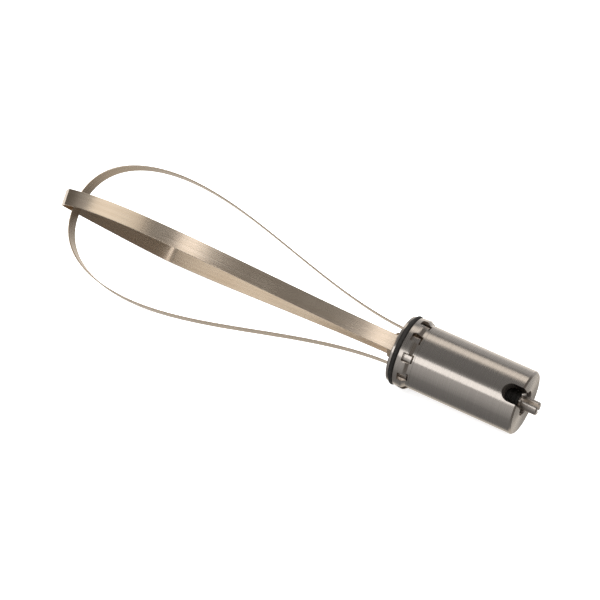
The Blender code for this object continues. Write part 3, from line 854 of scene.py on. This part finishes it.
def make_hub_nut():
    """A hexagon with its corners turned off at both ends and a countersunk bore."""
    start, end, inner, outer = tube_of("hub_nut")
    flats = outer * sqrt(3) / 2
    drop = (outer - flats) * 0.6
    dome = [
        (start, 0),
        (start, flats - 0.2),
        (start + drop, outer + 0.1),
        (end - drop, outer + 0.1),
        (end, flats - 0.2),
        (end, 0),
    ]
    sink = 0.6
    bore = [
        (start - 1, 0),
        (start - 1, inner + sink),
        (start, inner + sink),
        (start + sink, inner),
        (end - sink, inner),
        (end, inner + sink),
        (end + 1, inner + sink),
        (end + 1, 0),
    ]
    nut = about_y(prism(hexagon(outer), start, end), pi / 2)
    nut = combined(combined(nut, [turned(dome, MEDIUM)], "INTERSECT"), [turned(bore, MEDIUM)])
    finished("hub_nut", broken_edges(nut, 0.15, 22), "bearing_steel", "rotor")


def make_leg_screw(i):
    """A low round-headed screw along y, turned to its leg, with a hexagon socket."""
    seat = LEG_R + BAND_THICKNESS / 2 + 0.15
    foot, crown = seat - LEG_SCREW_REACH, seat + LEG_SCREW_HEAD_HEIGHT
    head = LEG_SCREW_HEAD_R
    corners = [
        (foot, 0),
        (foot, LEG_SCREW_R - 0.3),
        (foot + 0.3, LEG_SCREW_R),
        (seat, LEG_SCREW_R),
        (seat, head, 0.15),
        (seat + 0.7, head, 0.3),
        (crown - 0.45, head - 0.75, 0.6),
        (crown, head - 1.7, 0.5),
        (crown, 0),
    ]
    screw = turned(rounded(corners, closed=False), COARSE)
    socket = about_y(prism(hexagon(LEG_SCREW_SOCKET_R), crown - 1.3, crown + 1), pi / 2)
    screw = broken_edges(combined(screw, [socket]), 0.07)
    screw.transform(Matrix.Translation((LEG_SCREW_X, 0, 0)) @ Matrix.Rotation(pi / 2, 4, "Z"))
    finished(f"leg_screw_{i + 1}", about_x(screw, i * pi / 2), "bearing_steel", "rotor")


# ---------------------------------------------------------------- spring bands

BAND_WIDTH = 9.5
BAND_THICKNESS = 0.75
BAND_EDGE_R = 0.22
LEG_START = 64.8
LEG_R = 10.5
LEG_END = 75.0
LEG_PULL = 54.7
LOBE_X = 233.7
LOBE_R = 38.7
LOBE_PULL_BACK = 48.5
LOBE_PULL_ON = 14.1
NOSE_X = 287.6
NOSE_PULL = 36.0
NOSE_YAW = 0.14
TIP_CORNERS = ((291.6, 12.0), (297.27, 0.5))
TIP_BEND_R = 2.0
TIP_PULL_ON = (21.3, 14.1)
TIP_PULL_IN = ((274.5, 29.5), (273.7, -18.0))
TIP_YAW_START = 276.0
TIP_YAW = 0.15


def bezier(start, pull_out, pull_in, end, steps):
    """Points of a cubic curve after its start, as (x, r)."""
    points = []
    for i in range(1, steps + 1):
        t = i / steps
        weights = ((1 - t) ** 3, 3 * t * (1 - t) ** 2, 3 * t * t * (1 - t), t**3)
        corners = (start, pull_out, pull_in, end)
        points.append(tuple(sum(w * c[k] for w, c in zip(weights, corners)) for k in (0, 1)))
    return points


def leg_and_lobe():
    """The half path both bands share: straight leg in the mouth, then out to the lobe's widest point."""
    leg = filled_in([(LEG_START, LEG_R), (LEG_END, LEG_R)], 1.0)
    pull_out, pull_in = (LEG_END + LEG_PULL, LEG_R), (LOBE_X - LOBE_PULL_BACK, LOBE_R)
    return leg + bezier(leg[-1], pull_out, pull_in, (LOBE_X, LOBE_R), 90)


def inner_path():
    """The inner band's whole path, with a plain rounded nose."""
    widest, nose = (LOBE_X, LOBE_R), (NOSE_X, 0)
    pull_out = (LOBE_X + LOBE_PULL_ON, LOBE_R)
    half = leg_and_lobe() + bezier(widest, pull_out, (NOSE_X, NOSE_PULL), nose, 64)
    return half + mirrored(half[:-1])


def mirrored(points):
    return [(x, -r) for x, r in reversed(points)]


def bend(before, corner, after, steps):
    """Points of the rounded corner between two straight runs, as (x, r)."""
    corner = Vector(corner)
    back, on = (Vector(before) - corner).normalized(), (Vector(after) - corner).normalized()
    half = back.angle(on) / 2
    centre = corner + (back + on).normalized() * TIP_BEND_R / sin(half)
    spoke = corner + back * TIP_BEND_R / tan(half) - centre
    turn = 2 * half - pi
    return [tuple(centre + Matrix.Rotation(turn * i / steps, 2) @ spoke) for i in range(steps + 1)]


def outer_path():
    """The outer band's whole path. Its tip is pushed to one side and ends in a short, slanting flat."""
    (near, far), (near_pull, far_pull) = TIP_CORNERS, TIP_PULL_IN
    first, last = bend(near_pull, near, far, 12), bend(near, far, far_pull, 12)
    near_lobe, far_lobe = (LOBE_X, LOBE_R), (LOBE_X, -LOBE_R)
    near_out, far_out = (LOBE_X + TIP_PULL_ON[0], LOBE_R), (LOBE_X + TIP_PULL_ON[1], -LOBE_R)
    near_side = leg_and_lobe() + bezier(near_lobe, near_out, near_pull, first[0], 80)
    far_side = bezier(far_lobe, far_out, far_pull, last[-1], 80)
    return near_side + first[1:] + last + far_side[-2::-1] + mirrored(leg_and_lobe())


def yawed(start, full, slope):
    """A shape that turns the end of a band out of square, more and more from x = start to x = full."""

    def shape(x, r, across):
        t = min(1, max(0, (x - start) / (full - start)))
        return x + slope * across * t * t * (3 - 2 * t), r, across

    return shape


def strip_section():
    """The strip's rolled-edge section: (off, across) points, off the middle plane and across the width."""
    off, across = BAND_THICKNESS / 2, BAND_WIDTH / 2
    return rounded([(u, v, BAND_EDGE_R) for u, v in block_corners(-off, off, -across, across)])


def make_band(name, points, turn, first_leg, shape):
    """A flat strip bent along a path of (x, r) points, with a hole in each leg for its screw."""
    path = [Vector(p) for p in points]
    section = strip_section()
    lengths = [hypot(*(Vector(b) - Vector(a))) for a, b in zip(section, section[1:] + section[:1])]
    girth = [sum(lengths[:k]) / 10 for k in range(len(section) + 1)]
    bm = bmesh.new()
    layer = bm.loops.layers.uv.new("grain")
    rings, along = [], [0.0]
    for i, here in enumerate(path):
        before = (here - path[i - 1]).normalized() if i else (path[1] - here).normalized()
        after = (path[i + 1] - here).normalized() if i + 1 < len(path) else before
        ahead = (before + after).normalized()
        normal = Vector((-ahead.y, ahead.x)) / ahead.dot(after)
        rings.append([bm.verts.new(shape(*(here + normal * off), across)) for off, across in section])
        if i:
            along.append(along[-1] + (here - path[i - 1]).length / 10)
    count = len(section)
    for i in range(len(rings) - 1):
        for k in range(count):
            j = (k + 1) % count
            face = bm.faces.new((rings[i][k], rings[i + 1][k], rings[i + 1][j], rings[i][j]))
            corners = ((k, i), (k, i + 1), (k + 1, i + 1), (k + 1, i))
            for loop, (g, a) in zip(face.loops, corners):
                loop[layer].uv = (girth[g], along[a])
    bm.faces.new(rings[0])
    bm.faces.new(rings[-1])
    holes = []
    for i in (first_leg, first_leg + 2):
        hole = rod((LEG_SCREW_X, 9, 0), (LEG_SCREW_X, 12, 0), LEG_SCREW_R + 0.4, 48)
        holes.append(about_x(hole, i * pi / 2))
    band = combined(about_x(facing_out(bm), turn), holes)
    return finished(name, band, "spring_steel", "rotor", smooth=50, uv=None)


# ---------------------------------------------------------------- stage, lights and camera

AIM = Vector((0.0011, 0.0019, 0.0269))
CAMERA_AZIMUTH = 22.01
CAMERA_ELEVATION = 35.51
CAMERA_ROLL = 8.32
CAMERA_DISTANCE = 2.165
CAMERA_LENS = 229.5


def make_floor():
    """A pale floor. Glossy rays pass through it, so that the steel mirrors the dim room below the horizon."""
    mesh = bpy.data.meshes.new("floor")
    bm = bmesh.new()
    bmesh.ops.create_circle(bm, cap_ends=True, segments=96, radius=6)
    bm.to_mesh(mesh)
    bm.free()
    floor = bpy.data.objects.new("floor", mesh)
    floor.location.z = CAD_BOX[0].z - 0.0002
    floor.visible_glossy = False
    bpy.context.scene.collection.objects.link(floor)
    material = bpy.data.materials.new("pale_floor")
    material.use_nodes = True
    shader = material.node_tree.nodes["Principled BSDF"]
    shader.inputs["Base Color"].default_value = (0.9, 0.9, 0.9, 1)
    shader.inputs["Roughness"].default_value = 0.9
    shader.inputs["Emission Color"].default_value = (1, 1, 1, 1)
    shader.inputs["Emission Strength"].default_value = 0.7
    mesh.materials.append(material)


def overhead():
    """Soft light from above that whitens the floor. The steel doesn't mirror it."""
    light = bpy.data.lights.new("overhead", "SUN")
    light.energy = 4.4
    light.angle = radians(120)
    lamp = bpy.data.objects.new("overhead", light)
    lamp.visible_glossy = False
    bpy.context.scene.collection.objects.link(lamp)


def softbox(name, place, width, height, radiance, colour=(1, 1, 1), only=()):
    """A rectangular light at a place, facing the tool. It may light only some pieces."""
    light = bpy.data.lights.new(name, "AREA")
    light.shape = "RECTANGLE"
    light.size = width
    light.size_y = height
    light.energy = radiance * pi * width * height
    light.color = colour
    lamp = bpy.data.objects.new(name, light)
    lamp.location = place
    lamp.rotation_euler = (AIM - lamp.location).to_track_quat("-Z", "Y").to_euler()
    if only:
        lit = bpy.data.collections.new("lit_by_" + name)
        for piece in only:
            lit.objects.link(piece)
        lamp.light_linking.receiver_collection = lit
    bpy.context.scene.collection.objects.link(lamp)


def toward(azimuth, elevation, distance):
    """A place seen from the tool. Azimuth 0 is behind it (+Y) and 90 is towards +X."""
    a, e = radians(azimuth), radians(elevation)
    return AIM + Vector((sin(a) * cos(e), cos(a) * cos(e), sin(e))) * distance


# Brightness of the room by the height of the direction, from straight down (-1) to straight up (1)
ROOM_LEVELS = (
    (-1.0, 0.17),
    (-0.67, 0.21),
    (-0.45, 0.31),
    (-0.2, 0.4),
    (0.07, 0.48),
    (0.5, 0.4),
    (0.72, 0.15),
    (1.0, 0.19),
)
# Dark and pale walls of the room: direction, the cosines where each starts and is full, and colour
ROOM_PATCHES = (
    ((95, 14), 0.3, 0.65, (0.14, 0.13, 0.12, 1)),
    ((-28, -28), 0.7, 0.95, (1.0, 0.96, 0.9, 1)),
    ((12, -62), 0.86, 0.97, (0.6, 0.56, 0.5, 1)),
    ((-88, -24), 0.82, 0.95, (0.11, 0.1, 0.09, 1)),
)


def patched(tree, direction, colour, towards, start, full, patch_colour):
    """The room's colour with another mixed in around a direction."""
    facing = tree.nodes.new("ShaderNodeVectorMath")
    facing.operation = "DOT_PRODUCT"
    facing.inputs[1].default_value = toward(*towards, 1) - AIM
    amount = tree.nodes.new("ShaderNodeMapRange")
    amount.interpolation_type = "SMOOTHSTEP"
    amount.inputs["From Min"].default_value = start
    amount.inputs["From Max"].default_value = full
    mix = tree.nodes.new("ShaderNodeMix")
    mix.data_type = "RGBA"
    mix.inputs["B"].default_value = patch_colour
    tree.links.new(direction, facing.inputs[0])
    tree.links.new(facing.outputs["Value"], amount.inputs["Value"])
    tree.links.new(amount.outputs["Result"], mix.inputs["Factor"])
    tree.links.new(colour, mix.inputs["A"])
    return mix.outputs["Result"]


def make_world():
    """A dim room, darker above and below, with the patches listed above."""
    world = bpy.data.worlds.new("studio")
    bpy.context.scene.world = world
    world.use_nodes = True
    tree = world.node_tree
    direction = tree.nodes.new("ShaderNodeTexCoord").outputs["Generated"]
    split = tree.nodes.new("ShaderNodeSeparateXYZ")
    height = tree.nodes.new("ShaderNodeMapRange")
    height.inputs["From Min"].default_value = -1
    tree.links.new(direction, split.inputs["Vector"])
    tree.links.new(split.outputs["Z"], height.inputs["Value"])
    ramp = tree.nodes.new("ShaderNodeValToRGB")
    ramp.color_ramp.interpolation = "EASE"
    steps = ramp.color_ramp.elements
    for at, _ in ROOM_LEVELS[1:-1]:
        steps.new((at + 1) / 2)
    for step, (_, level) in zip(steps, ROOM_LEVELS):
        step.color = (level, level, level, 1)
    tree.links.new(height.outputs["Result"], ramp.inputs["Fac"])
    colour = ramp.outputs["Color"]
    for patch in ROOM_PATCHES:
        colour = patched(tree, direction, colour, *patch)
    tree.links.new(colour, tree.nodes["Background"].inputs["Color"])


def make_camera():
    """The camera's place is given round the point it looks at, with a small roll."""
    azimuth, elevation = radians(CAMERA_AZIMUTH), radians(CAMERA_ELEVATION)
    back = Vector((sin(azimuth) * cos(elevation), -cos(azimuth) * cos(elevation), sin(elevation)))
    camera = bpy.data.cameras.new("camera")
    camera.sensor_width = 36
    camera.lens = CAMERA_LENS
    camera.clip_start = 0.05
    rig = bpy.data.objects.new("camera", camera)
    turn = back.to_track_quat("Z", "Y").to_matrix().to_4x4() @ Matrix.Rotation(radians(CAMERA_ROLL), 4, "Z")
    rig.matrix_world = Matrix.Translation(AIM + back * CAMERA_DISTANCE) @ turn
    bpy.context.scene.collection.objects.link(rig)
    bpy.context.scene.camera = rig


make_barrel()
make_collar()
make_front_rings()
for bearing_end in ("rear", "front"):
    make_bearing(bearing_end)
make_wave_washer()
make_shaft_seal()
make_garter_spring()
make_snap_ring("mouth_retaining_ring", 11.4, 13.7, 3.4, 10.6, radians(17), pi, "housing")
make_drive_shaft()
make_shaft_boot()
make_spacer("inner_spacer_sleeve", "rotor")
make_spacer("seal_sleeve", "rotor")
make_spacer("outer_spacer_tube", "housing")
make_snap_ring("shaft_circlip", 3.75, 5.4, 2.0, 6.0, radians(20.5), DRIVE_SLOT_TURN, "rotor")
make_hub()
make_hub_pin()
make_lock_washer()
make_hub_nut()
for leg in range(4):
    make_leg_screw(leg)
bands = [
    make_band("outer_loop_band", outer_path(), 0, 0, yawed(TIP_YAW_START, TIP_CORNERS[0][0], TIP_YAW)),
    make_band("inner_loop_band", inner_path(), pi / 2, 1, yawed(LOBE_X, NOSE_X, -NOSE_YAW)),
]

make_floor()
make_world()
overhead()
softbox("left_front", toward(-120, 31, 1.3), 1.3, 1.1, 0.76, (1.0, 0.95, 0.86), bands)
softbox("low_front", Vector((-0.06, -0.71, 0.35)), 0.5, 0.3, 1.3)
softbox("rear_top", toward(-20, 62, 1.2), 0.9, 0.52, 0.95, (1.0, 0.94, 0.86))
softbox("band_glint", Vector((0.0, -0.485, 0.63)), 0.12, 0.3, 1.6, (1.0, 0.98, 0.97), bands)
make_camera()
bpy.context.scene.view_settings.view_transform = "Standard"
